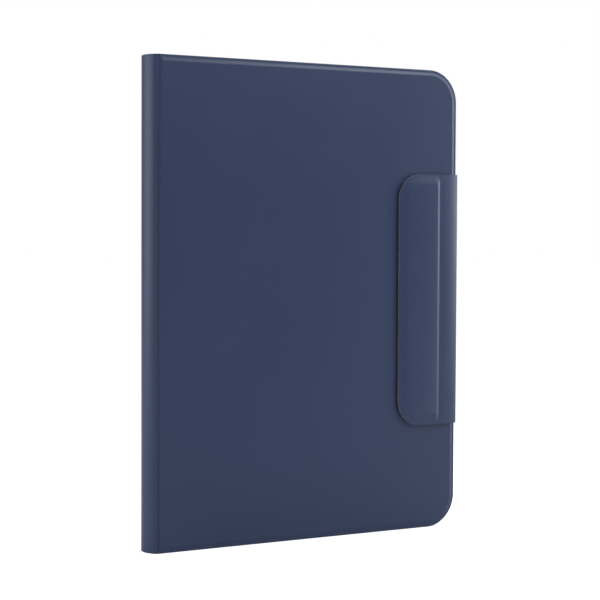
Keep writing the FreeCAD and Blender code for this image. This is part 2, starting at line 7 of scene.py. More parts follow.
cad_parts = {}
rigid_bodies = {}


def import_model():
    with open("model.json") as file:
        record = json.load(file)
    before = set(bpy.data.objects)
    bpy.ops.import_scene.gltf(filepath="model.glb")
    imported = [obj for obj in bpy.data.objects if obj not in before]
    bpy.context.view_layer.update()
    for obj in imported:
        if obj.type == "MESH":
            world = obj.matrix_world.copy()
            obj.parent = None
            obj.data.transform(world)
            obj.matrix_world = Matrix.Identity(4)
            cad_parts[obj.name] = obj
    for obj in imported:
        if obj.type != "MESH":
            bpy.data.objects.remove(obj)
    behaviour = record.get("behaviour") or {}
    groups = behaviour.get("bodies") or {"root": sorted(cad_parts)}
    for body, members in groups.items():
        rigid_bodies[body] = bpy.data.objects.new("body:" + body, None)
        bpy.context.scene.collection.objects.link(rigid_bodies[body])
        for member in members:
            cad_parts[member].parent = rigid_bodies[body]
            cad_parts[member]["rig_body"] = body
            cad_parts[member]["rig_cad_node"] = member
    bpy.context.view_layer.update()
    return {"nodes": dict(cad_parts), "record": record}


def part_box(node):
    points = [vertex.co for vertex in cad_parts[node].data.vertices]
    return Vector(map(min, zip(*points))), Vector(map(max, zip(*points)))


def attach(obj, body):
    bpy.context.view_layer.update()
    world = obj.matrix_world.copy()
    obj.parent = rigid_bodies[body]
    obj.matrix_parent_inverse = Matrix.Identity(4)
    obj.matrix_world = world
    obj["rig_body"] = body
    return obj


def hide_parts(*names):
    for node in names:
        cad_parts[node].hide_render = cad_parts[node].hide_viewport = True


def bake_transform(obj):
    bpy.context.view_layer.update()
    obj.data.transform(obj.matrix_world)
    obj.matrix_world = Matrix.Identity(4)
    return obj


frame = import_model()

bpy.ops.object.select_all(action="DESELECT")

# where the case lies: millimetres from the front crease, from the front face inwards, and up from the floor
mm = 0.001
frontLow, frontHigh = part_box("front_cover_skin")
backLow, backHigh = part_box("back_cover_skin")
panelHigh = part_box("rear_panel_skin")[1]
flapLow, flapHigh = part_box("flap_skin")
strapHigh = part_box("strap_skin")[1]
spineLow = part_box("spine_skin")[0]
creaseGap = 0.4                                  # from the crease to the cover's own solid
creaseX, frontY = frontLow.x - creaseGap * mm, frontLow.y
caseHigh = frontHigh.z / mm
coverWide = (frontHigh.x - creaseX) / mm
caseThick = (backHigh.y - frontY) / mm
foldX = ((panelHigh.x + backLow.x) / 2 - creaseX) / mm


def at(x, y, z):
    return Vector((creaseX + x * mm, frontY + y * mm, z * mm))


def caseX(x):
    return (x - creaseX) / mm


def caseY(y):
    return (y - frontY) / mm


print("case", round(caseHigh, 1), "x", round(coverWide, 1), "x", round(caseThick, 1), "mm")

# leather, cloth, plastic and metal


def newMaterial(name, colour, roughness, specular=0.5):
    material = bpy.data.materials.new(name)
    material.use_nodes = True
    shader = material.node_tree.nodes["Principled BSDF"]
    shader.inputs["Base Color"].default_value = (*colour, 1)
    shader.inputs["Roughness"].default_value = roughness
    shader.inputs["Specular IOR Level"].default_value = specular
    material.diffuse_color = (*colour, 1)
    return material, material.node_tree, shader


def addNode(tree, kind, place, **values):
    node = tree.nodes.new(kind)
    node.location = place
    for socket, value in values.items():
        node.inputs[socket.replace("_", " ")].default_value = value
    return node


fadeStart, fadeEnd = 0.3, 0.7                    # of the noise that drifts from one tone to the other


def mottle(tree, shader, colour, spread, scale):
    where = addNode(tree, "ShaderNodeTexCoord", (-1100, 200))
    noise = addNode(tree, "ShaderNodeTexNoise", (-900, 200), Scale=scale, Detail=3.0)
    ramp = addNode(tree, "ShaderNodeValToRGB", (-650, 200))
    ramp.color_ramp.elements[0].position = fadeStart
    ramp.color_ramp.elements[1].position = fadeEnd
    ramp.color_ramp.elements[0].color = (*[c * (1 - spread) for c in colour], 1)
    ramp.color_ramp.elements[1].color = (*[c * (1 + spread) for c in colour], 1)
    tree.links.new(where.outputs["Object"], noise.inputs["Vector"])
    tree.links.new(noise.outputs["Fac"], ramp.inputs["Fac"])
    tree.links.new(ramp.outputs["Color"], shader.inputs["Base Color"])
    return where


def roughen(tree, shader, where, scale, low, high):
    noise = addNode(tree, "ShaderNodeTexNoise", (-900, -100), Scale=scale, Detail=2.0)
    span = addNode(tree, "ShaderNodeMapRange", (-650, -100), To_Min=low, To_Max=high)
    tree.links.new(where.outputs["Object"], noise.inputs["Vector"])
    tree.links.new(noise.outputs["Fac"], span.inputs["Value"])
    tree.links.new(span.outputs["Result"], shader.inputs["Roughness"])


def grainBump(tree, shader, where, scale, strength, distance, cells=False):
    if cells:
        grain = addNode(tree, "ShaderNodeTexVoronoi", (-900, -400), Scale=scale)
        grain.feature = "SMOOTH_F1"
        height = grain.outputs["Distance"]
    else:
        grain = addNode(tree, "ShaderNodeTexNoise", (-900, -400), Scale=scale, Detail=4.0, Roughness=0.6)
        height = grain.outputs["Fac"]
    bump = addNode(tree, "ShaderNodeBump", (-400, -400), Strength=strength, Distance=distance)
    tree.links.new(where.outputs["Object"], grain.inputs["Vector"])
    tree.links.new(height, bump.inputs["Height"])
    tree.links.new(bump.outputs["Normal"], shader.inputs["Normal"])


leatherLook = {"colour": (0.0205, 0.0345, 0.092), "glossTint": (0.85, 0.92, 1.0), "roughness": 0.5,
               "spread": 0.05, "mottlePerMetre": 14, "roughRange": (0.40, 0.48), "roughPerMetre": 60,
               "grainPerMetre": 1500, "grainStrength": 0.35, "grainDepth": 0.00003}


def navyLeather():
    look = leatherLook
    material, tree, shader = newMaterial("navyLeather", look["colour"], look["roughness"])
    where = mottle(tree, shader, look["colour"], look["spread"], look["mottlePerMetre"])
    roughen(tree, shader, where, look["roughPerMetre"], *look["roughRange"])
    shader.inputs["Specular Tint"].default_value = (*look["glossTint"], 1)
    grainBump(tree, shader, where, look["grainPerMetre"], look["grainStrength"], look["grainDepth"],
              cells=True)
    return material


edgeLook = {"colour": (0.15, 0.15, 0.135), "roughness": 0.8, "specular": 0.3, "spread": 0.4,
            "mottlePerMetre": 900, "grainPerMetre": 2500, "grainStrength": 0.5, "grainDepth": 0.0001}


def cutEdge():                                   # undyed fibre at a raw leather edge
    look = edgeLook
    material, tree, shader = newMaterial("cutEdge", look["colour"], look["roughness"], look["specular"])
    where = mottle(tree, shader, look["colour"], look["spread"], look["mottlePerMetre"])
    grainBump(tree, shader, where, look["grainPerMetre"], look["grainStrength"], look["grainDepth"])
    return material


clothLook = {"colour": (0.032, 0.037, 0.052), "roughness": 0.9, "specular": 0.2, "sheen": 0.12,
             "sheenRoughness": 0.5, "spread": 0.18, "mottlePerMetre": 350, "grainPerMetre": 2600,
             "grainStrength": 0.6, "grainDepth": 0.00008}


def liningCloth():
    look = clothLook
    material, tree, shader = newMaterial("liningCloth", look["colour"], look["roughness"], look["specular"])
    shader.inputs["Sheen Weight"].default_value = look["sheen"]
    shader.inputs["Sheen Roughness"].default_value = look["sheenRoughness"]
    where = mottle(tree, shader, look["colour"], look["spread"], look["mottlePerMetre"])
    grainBump(tree, shader, where, look["grainPerMetre"], look["grainStrength"], look["grainDepth"])
    return material


plasticLook = {"specular": 0.45, "spread": 0.06, "mottlePerMetre": 40, "roughPerMetre": 90, "smoother": 0.04,
               "rougher": 0.05, "grainStrength": 0.3}


def mouldedPlastic(name, colour, roughness, grain=1800, depth=0.00002):
    look = plasticLook
    material, tree, shader = newMaterial(name, colour, roughness, look["specular"])
    where = mottle(tree, shader, colour, look["spread"], look["mottlePerMetre"])
    low, high = roughness - look["smoother"], roughness + look["rougher"]
    roughen(tree, shader, where, look["roughPerMetre"], low, high)
    grainBump(tree, shader, where, grain, look["grainStrength"], depth)
    return material


metalLook = {"spread": 0.05, "mottlePerMetre": 120, "roughPerMetre": 300, "smoother": 0.05, "rougher": 0.08}


def plainMetal(name, colour, roughness):
    look = metalLook
    material, tree, shader = newMaterial(name, colour, roughness)
    shader.inputs["Metallic"].default_value = 1.0
    where = mottle(tree, shader, colour, look["spread"], look["mottlePerMetre"])
    low, high = roughness - look["smoother"], roughness + look["rougher"]
    roughen(tree, shader, where, look["roughPerMetre"], low, high)
    return material


leather = navyLeather()
rawEdge = cutEdge()
lining = liningCloth()
shellPlastic = mouldedPlastic("shellPlastic", (0.040, 0.048, 0.070), 0.48)
keyPlastic = mouldedPlastic("keyPlastic", (0.020, 0.024, 0.036), 0.42, 2600, 0.000012)
trayPlastic = mouldedPlastic("trayPlastic", (0.026, 0.033, 0.056), 0.55)
touchPlastic = mouldedPlastic("touchPlastic", (0.045, 0.053, 0.075), 0.33, 4000, 0.000006)
bumperRubber = mouldedPlastic("bumperRubber", (0.03, 0.03, 0.034), 0.75)
steel = plainMetal("steel", (0.55, 0.55, 0.56), 0.35)
portMetal = plainMetal("portMetal", (0.62, 0.62, 0.63), 0.25)
slotFinish = {
    "cover_leather": leather, "cover_lining": lining, "raw_edge": rawEdge, "spring_steel": steel,
    "cover_board": mouldedPlastic("boardCard", (0.20, 0.20, 0.20), 0.7),
    "magnet": portMetal, "keyboard_shell": shellPlastic, "key_plastic": keyPlastic,
    "dome_rubber": mouldedPlastic("domeRubber", (0.50, 0.50, 0.48), 0.6), "bumper_rubber": bumperRubber,
    "membrane_film": mouldedPlastic("film", (0.55, 0.56, 0.52), 0.3),
    "battery_foil": plainMetal("foil", (0.70, 0.70, 0.68), 0.3),
    "circuit_laminate": mouldedPlastic("laminate", (0.03, 0.16, 0.08), 0.4), "port_metal": portMetal,
    "lens_plastic": mouldedPlastic("lens", (0.75, 0.80, 0.76), 0.35), "touch_surface": touchPlastic,
    "tray_plastic": trayPlastic, "screw_steel": steel,
}
nodeSlot = {row["node"]: row["material_slot"] for row in frame["record"]["subparts"]}
for name, node in frame["nodes"].items():
    node.data.materials.clear()
    node.data.materials.append(slotFinish[nodeSlot[name]])
print("materials made")

# small steps that every piece uses


def only(piece):
    bpy.ops.object.select_all(action="DESELECT")
    piece.select_set(True)
    bpy.context.view_layer.objects.active = piece


def openEdit(piece):
    only(piece)
    bpy.ops.object.mode_set(mode="EDIT")
    bpy.ops.mesh.select_all(action="DESELECT")


def closeEdit():
    bpy.ops.object.mode_set(mode="OBJECT")


def pickFaces(piece, wanted):                    # wanted looks at a face's centre and normal
    bpy.ops.mesh.select_mode(type="FACE")
    mesh = bmesh.from_edit_mesh(piece.data)
    mesh.normal_update()
    for face in mesh.faces:
        face.select_set(bool(wanted(face.calc_center_median(), face.normal)))
    mesh.select_flush_mode()
    bmesh.update_edit_mesh(piece.data)


def pickEdges(piece, wanted):                    # wanted looks at an edge's two ends
    bpy.ops.mesh.select_mode(type="EDGE")
    mesh = bmesh.from_edit_mesh(piece.data)
    for edge in mesh.edges:
        edge.select_set(bool(wanted(*(corner.co for corner in edge.verts))))
    mesh.select_flush_mode()
    bmesh.update_edit_mesh(piece.data)


def pickPoints(piece, wanted):
    bpy.ops.mesh.select_mode(type="VERT")
    mesh = bmesh.from_edit_mesh(piece.data)
    for point in mesh.verts:
        point.select_set(bool(wanted(point.co)))
    mesh.select_flush_mode()
    bmesh.update_edit_mesh(piece.data)


hair = 0.02                                      # two places closer than this, in mm, are the same


def near(a, b, reach=hair):
    return abs(a - b) < reach * mm


def alongY(a, b):
    return near(a.x, b.x) and near(a.z, b.z)


def finish(piece, materials):
    piece.data.materials.clear()
    for material in materials:
        piece.data.materials.append(material)


def newBlock(name, x, y, z, materials):          # a block between two limits each way
    low, high = at(x[0], y[0], z[0]), at(x[1], y[1], z[1])
    bpy.ops.mesh.primitive_cube_add(size=1, location=(low + high) / 2, scale=high - low)
    block = bpy.context.object
    block.name = block.data.name = name
    bpy.ops.object.transform_apply(location=True, rotation=True, scale=True)
    finish(block, materials)
    return block


def smooth(piece, angle=35):
    only(piece)
    bpy.ops.object.shade_smooth_by_angle(angle=math.radians(angle))


def applyAll(piece):
    only(piece)
    for modifier in list(piece.modifiers):
        bpy.ops.object.modifier_apply(modifier=modifier.name)


def joinPieces(name, pieces):
    bpy.ops.object.select_all(action="DESELECT")
    for piece in pieces:
        piece.select_set(True)
    bpy.context.view_layer.objects.active = pieces[0]
    bpy.ops.object.join()
    pieces[0].name = pieces[0].data.name = name
    return pieces[0]


def fitPicked(piece, x, z):                      # stretches what is picked to these limits
    points = [point.co for point in bmesh.from_edit_mesh(piece.data).verts if point.select]
    lowX, lowZ = min(p.x for p in points), min(p.z for p in points)
    wide, tall = max(p.x for p in points) - lowX, max(p.z for p in points) - lowZ
    low, high = at(x[0], 0, z[0]), at(x[1], 0, z[1])
    stretch = ((high.x - low.x) / wide, 1, (high.z - low.z) / tall)
    bpy.ops.transform.resize(value=stretch, center_override=(lowX, 0, lowZ))
    bpy.ops.transform.translate(value=(low.x - lowX, 0, low.z - lowZ))


def raiseField(piece, foot, top, rise, steps, inset, softness=1.0):
    # raises the picked face on a slope from the foot's limits to the top's, soft at both ends
    gained = 0
    for i in range(1, steps + 1):
        share = i / steps
        level = rise * (softness * share * share * (3 - 2 * share) + (1 - softness) * share)
        bpy.ops.mesh.inset(thickness=inset / steps * mm, depth=(level - gained) * mm)
        x0, x1, z0, z1 = (a + (b - a) * share for a, b in zip(foot, top))
        fitPicked(piece, (x0, x1), (z0, z1))
        gained = level


def roundMitres(piece, x, reach, radius, rim):   # rounds the field's square corners at a joint
    ends = [at(end, 0, 0).x for end in x]

    def mitre(a, b):
        slanted = abs(a.x - b.x) > 0.002 * mm and abs(a.z - b.z) > 0.002 * mm
        beside = any(abs(a.x - end) < reach * mm and abs(b.x - end) < reach * mm for end in ends)
        raised = abs(a.y - rim) > 0.001 * mm or abs(b.y - rim) > 0.001 * mm
        return slanted and beside and raised

    pickEdges(piece, mitre)
    bpy.ops.mesh.bevel(offset=radius * mm, segments=4, affect="EDGES")


# covers: a stiff board in leather, with a rim, a slope and a raised field outside and cloth inside
coverStyle = {"rim": 1.1, "slope": 2.5, "rise": 0.7, "slopeSteps": 8, "round": 18, "roundSteps": 16,
              "edgeRound": 0.55, "turnedIn": 2.6, "fieldCorner": 1.3, "jointRim": 0.25, "jointSlope": 0.75,
              "jointRound": 0.3, "edgeSteps": 4, "jointSteps": 3, "liningStep": 0.15, "liningSink": 0.08,
              "rimLevel": 0.7, "frontInner": 2.0, "backInner": 1.9, "fromFold": 0.9, "panelStart": 3.0}


def makeCover(name, x, y, rounded, outward):
    # y: the level of the rim, then of the inner face; outward is -1 for a face that looks to -Y
    style = coverStyle
    cover = newBlock(name, x, sorted(y), (0, caseHigh), [leather, lining])
    openEdit(cover)
    if rounded:
        pickEdges(cover, lambda a, b: alongY(a, b) and near(a.x, at(x[1], 0, 0).x))
        bpy.ops.mesh.bevel(offset=style["round"] * mm, segments=style["roundSteps"], affect="EDGES")
    pickFaces(cover, lambda centre, normal: normal.y * outward > 0.9)
    bpy.ops.mesh.inset(thickness=style["rim"] * mm, depth=0)
    freeRim, freeTop = style["rim"], style["rim"] + style["slope"]
    jointRim, jointTop = style["jointRim"], style["jointRim"] + style["jointSlope"]
    rightRim, rightTop = (freeRim, freeTop) if rounded else (jointRim, jointTop)
    foot = (x[0] + jointRim, x[1] - rightRim, freeRim, caseHigh - freeRim)
    top = (x[0] + jointTop, x[1] - rightTop, freeTop, caseHigh - freeTop)
    fitPicked(cover, foot[:2], foot[2:])
    raiseField(cover, foot, top, style["rise"], style["slopeSteps"], style["slope"])
    rim, inner = at(0, y[0], 0).y, at(0, y[1], 0).y
    roundMitres(cover, x if not rounded else x[:1], jointTop + 0.1, style["fieldCorner"], rim)
    pickFaces(cover, lambda centre, normal: normal.y * outward < -0.9 and near(centre.y, inner))
    bpy.ops.mesh.inset(thickness=style["turnedIn"] * mm, depth=0)
    bpy.ops.mesh.inset(thickness=style["liningStep"] * mm, depth=-style["liningSink"] * mm)
    cover.active_material_index = 1
    bpy.ops.object.material_slot_assign()

    jointEnds = [at(end, 0, 0).x for end in (x[:1] if rounded else x)]

    def edgeAt(joint):
        def wanted(a, b):
            level = (near(a.y, rim) and near(b.y, rim)) or (near(a.y, inner) and near(b.y, inner))
            onJoint = any(near(a.x, end) and near(b.x, end) for end in jointEnds)
            return level and onJoint == joint and outside(a, x, rounded) and outside(b, x, rounded)
        return wanted

    pickEdges(cover, edgeAt(False))
    bpy.ops.mesh.bevel(offset=style["edgeRound"] * mm, segments=style["edgeSteps"], affect="EDGES")
    pickEdges(cover, edgeAt(True))
    bpy.ops.mesh.bevel(offset=style["jointRound"] * mm, segments=style["jointSteps"], affect="EDGES")
    closeEdit()
    smooth(cover)
    return cover


def outside(point, x, rounded):                  # on the cover's own outline
    px, pz = caseX(point.x), point.z / mm
    if near(point.z, 0) or near(point.z, caseHigh * mm) or abs(px - x[0]) < hair:
        return True
    if not rounded:
        return abs(px - x[1]) < hair
    right = coverWide - px
    corner, slack = coverStyle["round"], 0.05
    if right > corner + 2 * slack:
        return False
    if corner < pz < caseHigh - corner:
        return abs(right) < hair
    away = math.dist((px, pz), (coverWide - corner, corner if pz < corner else caseHigh - corner))
    return abs(away - corner) < slack


coverStart, rimLevel = coverStyle["fromFold"], coverStyle["rimLevel"]
frontCover = makeCover("frontCover", (coverStart, coverWide), (rimLevel, coverStyle["frontInner"]), True, -1)
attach(frontCover, "keyboard_half")
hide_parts("front_cover_skin", "front_cover_lining")

backRim = caseThick - rimLevel
backInner = caseThick - coverStyle["backInner"]
backCover = makeCover("backCover", (foldX + coverStart, coverWide), (backRim, backInner), True, 1)
panelSpan = (coverStyle["panelStart"], foldX - coverStart)
rearPanel = makeCover("rearPanel", panelSpan, (backRim, backInner), False, 1)
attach(rearPanel, "rear_panel")
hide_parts("rear_panel_skin", "rear_panel_lining")
print("covers made")

# the camera window in the back cover
windowStyle = {"reach": 0.1, "past": 3, "corner": 9, "cornerSteps": 12}
ringLow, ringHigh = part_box("camera_ring")


def cutWindow(cover):
    reach, past = windowStyle["reach"], windowStyle["past"]
    x = (caseX(ringLow.x) - reach, caseX(ringHigh.x) + reach)
    z = (ringLow.z / mm - reach, ringHigh.z / mm + reach)
    window = newBlock("windowCutter", x, (backInner - past, caseThick + past), z, [leather])
    openEdit(window)
    pickEdges(window, alongY)
    bpy.ops.mesh.bevel(offset=windowStyle["corner"] * mm, segments=windowStyle["cornerSteps"], affect="EDGES")
    closeEdit()
    opening = cover.modifiers.new("window", "BOOLEAN")
    opening.object = window
    opening.operation = "DIFFERENCE"
    opening.solver = "EXACT"
    applyAll(cover)
    bpy.data.objects.remove(window)
    smooth(cover)


cutWindow(backCover)
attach(backCover, "tablet_half")
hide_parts("back_cover_skin", "back_cover_lining")

# leather strips that bend: an upright edge run along a path seen from above, then given its thickness
stripStyle = {"tipReach": 1.56, "edgeRound": 0.55, "edgeSteps": 4}


def arcPoints(centre, radius, start, end, count):
    turn = math.radians(end - start) / count
    return [(centre[0] + radius * math.cos(math.radians(start) + turn * i),
             centre[1] + radius * math.sin(math.radians(start) + turn * i)) for i in range(count + 1)]


def runUpright(piece, points):                   # extrudes the picked edge from point to point
    for start, end in zip(points, points[1:]):
        step = Vector(((end[0] - start[0]) * mm, (end[1] - start[1]) * mm, 0))
        bpy.ops.mesh.extrude_region_move(TRANSFORM_OT_translate={"value": step})


def makeStrip(name, points, z, thick, inward, materials, innerIndex=1, rimIndex=0):
    # inward: a point on the lining's side of the middle of the path
    start = at(*points[0], (z[0] + z[1]) / 2)
    upright = (0, math.radians(90), 0)
    bpy.ops.mesh.primitive_plane_add(size=(z[1] - z[0]) * mm, location=start, rotation=upright)
    strip = bpy.context.object
    strip.name = strip.data.name = name
    bpy.ops.object.transform_apply(location=True, rotation=True, scale=True)
    finish(strip, materials)
    openEdit(strip)
    side = min(corner.co.y for corner in strip.data.vertices)
    pickPoints(strip, lambda point: near(point.y, side))
    bpy.ops.mesh.delete(type="VERT")
    pickEdges(strip, lambda a, b: True)
    bpy.ops.transform.translate(value=(0, start.y - bmesh.from_edit_mesh(strip.data).verts[:][0].co.y, 0))
    runUpright(strip, points)
    middle = len(points) // 2
    strip.data.update()
    centre = at(*points[middle], 0)
    mesh = bmesh.from_edit_mesh(strip.data)
    mesh.faces.ensure_lookup_table()
    mesh.normal_update()
    facing = min(mesh.faces, key=lambda face: (face.calc_center_median().xy - centre.xy).length)
    if facing.normal.xy.dot(at(*inward, 0).xy - centre.xy) > 0:
        bpy.ops.mesh.select_all(action="SELECT")
        bpy.ops.mesh.flip_normals()
    closeEdit()
    wall = strip.modifiers.new("thickness", "SOLIDIFY")
    wall.thickness = thick * mm
    wall.offset = -1
    wall.use_even_offset = True
    wall.material_offset = innerIndex
    wall.material_offset_rim = rimIndex
    applyAll(strip)
    return strip


def roundStripEdges(strip, points, z, radius):
    first, last = at(*points[0], 0), at(*points[-1], 0)
    tip = stripStyle["tipReach"] * mm

    def edgeWanted(a, b):
        level = any(near(a.z, end * mm) and near(b.z, end * mm) for end in z)
        middle = ((a + b) / 2).xy
        atTip = min((middle - first.xy).length, (middle - last.xy).length) < tip
        return level and not (atTip and acrossStrip(a, b, points))

    openEdit(strip)
    pickEdges(strip, edgeWanted)
    bpy.ops.mesh.bevel(offset=radius * mm, segments=stripStyle["edgeSteps"], affect="EDGES")
    closeEdit()
    smooth(strip)


def acrossStrip(a, b, points):
    run = (b - a).xy
    if run.length < 1e-7:
        return True
    ends = [(points[0], points[1]), (points[-2], points[-1])]
    along = [(at(*q, 0) - at(*p, 0)).xy.normalized() for p, q in ends]
    middle = ((a + b) / 2).xy
    nearest = 0 if (middle - at(*points[0], 0).xy).length < (middle - at(*points[-1], 0).xy).length else 1
    return abs(run.normalized().dot(along[nearest])) < 0.3


def softRun(points, perSpan):                    # a smooth line through the points
    line = []
    padded = [points[0], *points, points[-1]]
    for a, b, c, d in zip(padded, padded[1:], padded[2:], padded[3:]):
        for i in range(perSpan):
            t = i / perSpan
            line.append(tuple(0.5 * (2 * q + (r - p) * t + (2 * p - 5 * q + 4 * r - s) * t * t
                                     + (3 * q - p - 3 * r + s) * t ** 3) for p, q, r, s in zip(a, b, c, d)))
    return line + [points[-1]]


spineStyle = {"perSpan": 6, "thick": 1.2, "bulge": -(spineLow.x - creaseX) / mm,
              # from the front cover's edge round to the middle of the spine: shares of the bulge, then depth
              "shape": [(-0.54, 1.12), (-0.27, 0.96), (-0.03, 0.88), (0.2, 1.15), (0.44, 2.1), (0.68, 3.75),
                        (0.88, 5.9), (0.985, 8.75)],
              # the back hinge's last points: across, then depth from the back
              "tail": [(1.6, 1.0), (2.9, 0.98), (4.2, 1.1)]}
frontHalf = [(-share * spineStyle["bulge"], depth) for share, depth in spineStyle["shape"]]
backHalf = [(x, caseThick - y) for x, y in reversed(frontHalf[:-1])]
backHalf[-2:] = [(x, caseThick - depth) for x, depth in spineStyle["tail"]]
wholeSpine = softRun(frontHalf + backHalf, spineStyle["perSpan"])
meet = (len(frontHalf) + 1) * spineStyle["perSpan"]    # where the two strips join, behind the middle
spinePath, backHingePath = wholeSpine[:meet + 1], wholeSpine[meet:]
spineMiddle = (6, caseThick / 2)

spineSkin = makeStrip("spineSkin", spinePath, (0, caseHigh), spineStyle["thick"], spineMiddle,
                      [leather, lining])
roundStripEdges(spineSkin, spinePath, (0, caseHigh), stripStyle["edgeRound"])
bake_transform(spineSkin)
# the spine's stiffener is sewn inside the skin, so the skin stands for it too
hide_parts("spine_skin", "spine_lining", "spine_stiffener")

backHingeSkin = makeStrip("backHingeSkin", backHingePath, (0, caseHigh), spineStyle["thick"], spineMiddle,
                          [leather, lining])
roundStripEdges(backHingeSkin, backHingePath, (0, caseHigh), stripStyle["edgeRound"])
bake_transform(backHingeSkin)

# a shallow groove: across from the fold, then depth from the back
foldStyle = {"perSpan": 3, "thick": 0.8, "edgeRound": 0.35, "bend": 0.9,
             "shape": [(-2.1, 1.15), (-0.95, 0.95), (-0.45, 1.05), (0, 1.15), (0.45, 1.05), (0.95, 0.95),
                       (2.1, 1.15)]}
foldLine = [(foldX + x, caseThick - depth) for x, depth in foldStyle["shape"]]
foldPath = softRun(foldLine, foldStyle["perSpan"])
foldSkin = makeStrip("foldSkin", foldPath, (0, caseHigh), foldStyle["thick"], (foldX, 0), [leather, lining])
roundStripEdges(foldSkin, foldPath, (0, caseHigh), foldStyle["edgeRound"])
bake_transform(foldSkin)
print("spine and folds made")

# closure flap: strap round the free edge, tongue over the front cover, raised pad on the tongue
flapStyle = {"thick": 1.1, "hug": 0.45, "faceDepth": 1.2, "flatEnd": 4, "curveStart": 178.4,
             "curveDrop": 2.95, "curveSteps": 26, "wallStart": 5.0, "tongueRound": 14, "tongueSteps": 14,
             "edgeRound": 0.36, "edgeSteps": 3, "sharpAngle": 60, "inside": (150, 5),
             "padRise": 1.0, "padSteps": 12, "padStart": 0.35, "padSunk": 0.6, "padSoftness": 0.35,
             "padFootRight": 176.2, "padLeft": 154.4, "padRight": 174.2, "padInset": 5.8,
             "padRoundRight": 4.2, "padRoundSteps": 8}
flapZ = (flapLow.z / mm, flapHigh.z / mm)
flapLeft = caseX(flapLow.x)
wallX = caseX(strapHigh.x) - flapStyle["hug"]
flapFace = caseY(flapLow.y) + flapStyle["faceDepth"]
strapMiddle = 9.0


def makeTongue():
    style = flapStyle
    start, drop = style["curveStart"], style["curveDrop"]
    points = [(flapLeft, flapFace), (flapLeft + style["tongueRound"], flapFace),
              (start - style["flatEnd"], flapFace)]
    for i in range(style["curveSteps"] + 1):
        turn = math.radians(90 * i / style["curveSteps"])
        points.append((start + (wallX - start) * math.sin(turn), flapFace + drop * (1 - math.cos(turn))))
    points += [(wallX, style["wallStart"]), (wallX, strapMiddle)]
    tongue = makeStrip("closureFlap", points, flapZ, style["thick"], style["inside"],
                       [leather, lining, rawEdge], 1, 2)
    openEdit(tongue)
    left = at(flapLeft, 0, 0).x
    pickEdges(tongue, lambda a, b: alongY(a, b) and near(a.x, left))
    bpy.ops.mesh.bevel(offset=style["tongueRound"] * mm, segments=style["tongueSteps"], affect="EDGES")
    closeEdit()
    rounding = tongue.modifiers.new("edges", "BEVEL")
    rounding.width = style["edgeRound"] * mm
    rounding.segments = style["edgeSteps"]
    rounding.limit_method = "ANGLE"
    rounding.angle_limit = math.radians(style["sharpAngle"])
    rounding.material = 0
    applyAll(tongue)
    return tongue


def makePad():
    style = flapStyle
    start = style["padStart"]
    foot = (flapLeft + start, style["padFootRight"], flapZ[0] + start, flapZ[1] - start)
    top = (style["padLeft"], style["padRight"], flapZ[0] + style["padInset"], flapZ[1] - style["padInset"])
    pad = newBlock("flapPad", foot[:2], (flapFace, flapFace + style["padSunk"]), foot[2:],
                   [leather, lining, rawEdge])
    openEdit(pad)
    pickEdges(pad, lambda a, b: alongY(a, b) and near(a.x, at(foot[0], 0, 0).x))
    leftRound = style["tongueRound"] - start
    bpy.ops.mesh.bevel(offset=leftRound * mm, segments=style["tongueSteps"], affect="EDGES")
    pickEdges(pad, lambda a, b: alongY(a, b) and near(a.x, at(foot[1], 0, 0).x))
    bpy.ops.mesh.bevel(offset=style["padRoundRight"] * mm, segments=style["padRoundSteps"], affect="EDGES")
    pickFaces(pad, lambda centre, normal: normal.y < -0.9)
    slope = foot[1] - top[1]
    raiseField(pad, foot, top, style["padRise"], style["padSteps"], slope, style["padSoftness"])
    closeEdit()
    return pad


closureFlap = joinPieces("closureFlap", [makeTongue(), makePad()])
smooth(closureFlap)
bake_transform(closureFlap)
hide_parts("flap_skin", "flap_lining", "strap_skin", "strap_lining")


# the strap's root on the back cover: a bend, then flat to its end
rootStyle = {"thick": 1.1, "proud": 0.3, "bend": 3.6, "bendSteps": 14, "flatStart": 182, "end": 172.5,
             "inside": (150, 10)}
rootFace = caseThick + rootStyle["proud"]


def makeStrapBack():
    style, bend = rootStyle, rootStyle["bend"]
    centre = (wallX - bend, rootFace - bend)
    points = [(wallX, strapMiddle)] + arcPoints(centre, bend, 0, 90, style["bendSteps"])
    points += [(style["flatStart"], rootFace), (style["end"], rootFace)]
    return makeStrip("strapBack", points, flapZ, style["thick"], style["inside"],
                     [leather, lining, rawEdge], 1, 2)


strapBack = makeStrapBack()
smooth(strapBack)
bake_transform(strapBack)
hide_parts("strap_root")
print("flap made")

# moulded pieces: a merged copy of the solid with its sharp edges softened


softStyle = {"weld": 0.000005, "flatAngle": 1, "edgeSteps": 3, "sharpAngle": 30}


def softCopy(node, width):
    original = frame["nodes"][node]
    copy = original.copy()
    copy.data = original.data.copy()
    copy.parent = None
    copy.matrix_world = Matrix.Identity(4)
    copy.name = copy.data.name = node + "Soft"
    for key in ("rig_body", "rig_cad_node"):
        if key in copy:
            del copy[key]
    bpy.context.scene.collection.objects.link(copy)
    openEdit(copy)
    bpy.ops.mesh.select_all(action="SELECT")
    bpy.ops.mesh.remove_doubles(threshold=softStyle["weld"])
    bpy.ops.mesh.dissolve_limited(angle_limit=math.radians(softStyle["flatAngle"]))
    closeEdit()
    rounding = copy.modifiers.new("softEdges", "BEVEL")
    rounding.width = width * mm
    rounding.segments = softStyle["edgeSteps"]
    rounding.limit_method = "ANGLE"
    rounding.angle_limit = math.radians(softStyle["sharpAngle"])
    applyAll(copy)
    smooth(copy)
    return copy


bodyOf = {name: body for body, names in frame["record"]["behaviour"]["bodies"].items() for name in names}


def softNode(node, width):
    piece = softCopy(node, width)
    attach(piece, bodyOf[node])
    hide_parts(node)


